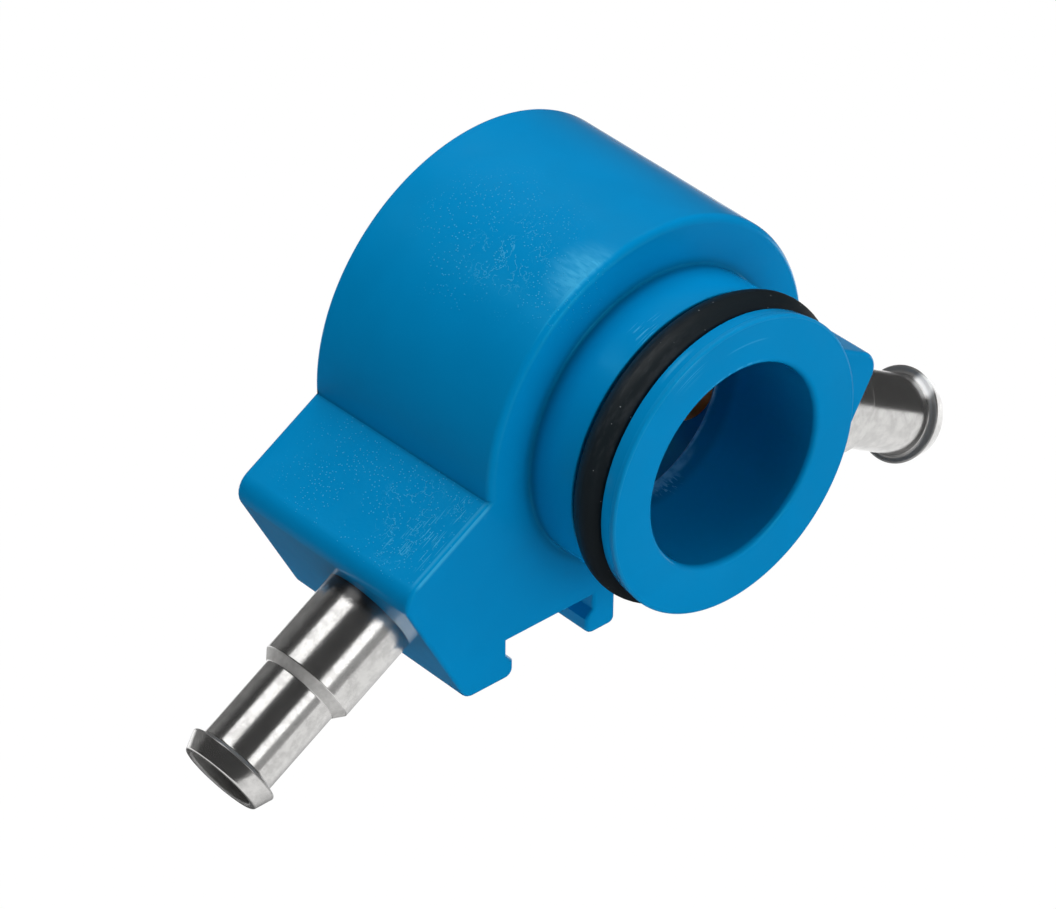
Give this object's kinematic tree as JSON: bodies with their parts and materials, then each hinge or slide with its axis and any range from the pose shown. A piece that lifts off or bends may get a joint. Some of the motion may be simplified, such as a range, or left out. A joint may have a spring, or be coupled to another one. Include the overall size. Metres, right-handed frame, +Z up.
{
  "type": "pneumatic manifold",
  "caption": "Ring-shaped pneumatic manifold module in moulded plastic, with a sealed spigot, a rear socket, hooked rail slots and barbed metal hose nipples on splayed wings.",
  "frame": {"origin": "on the bore's axis, in the plane of the barrel's front face, where the spigot begins", "axes": "+Y along the bore from the spigot to the socket, +Z up away from the rail feet, +X to the right seen from the spigot's side"},
  "size_m": [0.0468, 0.0179, 0.0247],
  "materials": {
    "body_plastic": "satin moulded blue, finely speckled",
    "seal_rubber": "dull black",
    "plated_brass": "bright nickel plate over turned brass"
  },
  "bodies": {
    "root": {"body": "body_plastic", "seal_ring": "seal_rubber", "left_nipple": "plated_brass", "right_nipple": "plated_brass"}
  },
  "joints": []
}
